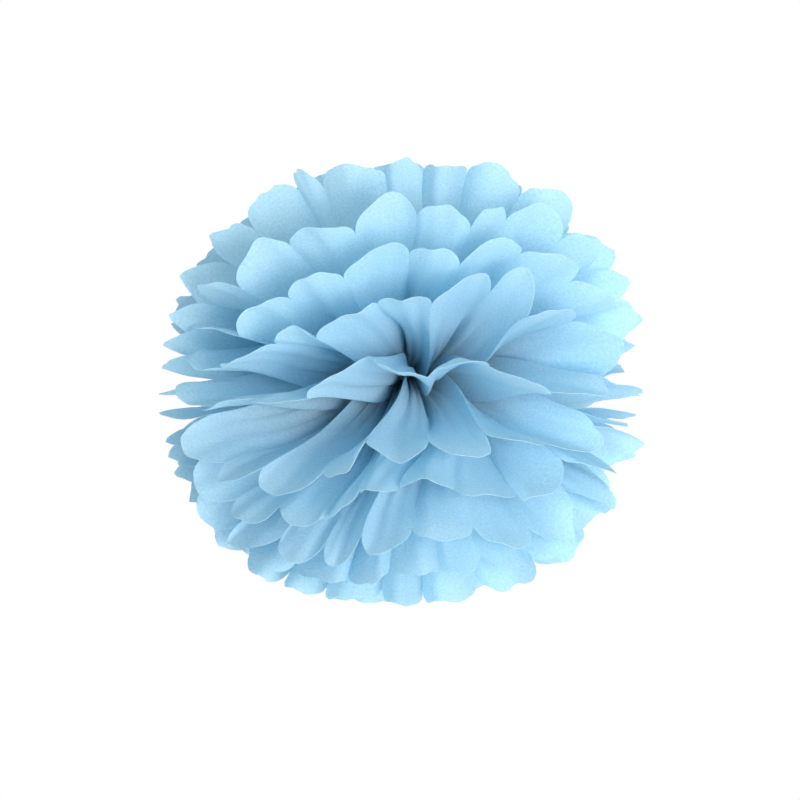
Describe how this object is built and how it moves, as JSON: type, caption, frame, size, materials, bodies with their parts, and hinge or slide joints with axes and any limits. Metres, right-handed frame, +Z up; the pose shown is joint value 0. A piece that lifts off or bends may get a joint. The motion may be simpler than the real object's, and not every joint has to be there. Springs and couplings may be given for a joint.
{
  "type": "tissue paper pom pom",
  "caption": "Ball-shaped hanging decoration of pleated tissue sheets with round petal ends, tied at the waist with wire, fanned and pulled apart.",
  "frame": {"origin": "centre of the tied waist, where all the sheets are gathered inside the wire", "axes": "+Z up as it hangs, -Y towards the camera along the pleats, +X to the right across the waist"},
  "size_m": [0.3492, 0.3472, 0.3212],
  "materials": {
    "tissue_paper": "matt",
    "galvanised_wire": "satin"
  },
  "bodies": {
    "root": {"tissue_sheet_01": "tissue_paper", "tissue_sheet_02": "tissue_paper", "tissue_sheet_03": "tissue_paper", "tissue_sheet_04": "tissue_paper", "tissue_sheet_05": "tissue_paper", "tissue_sheet_06": "tissue_paper", "tissue_sheet_07": "tissue_paper", "tissue_sheet_08": "tissue_paper", "tissue_sheet_09": "tissue_paper", "tissue_sheet_10": "tissue_paper", "binding_wire": "galvanised_wire"}
  },
  "joints": []
}
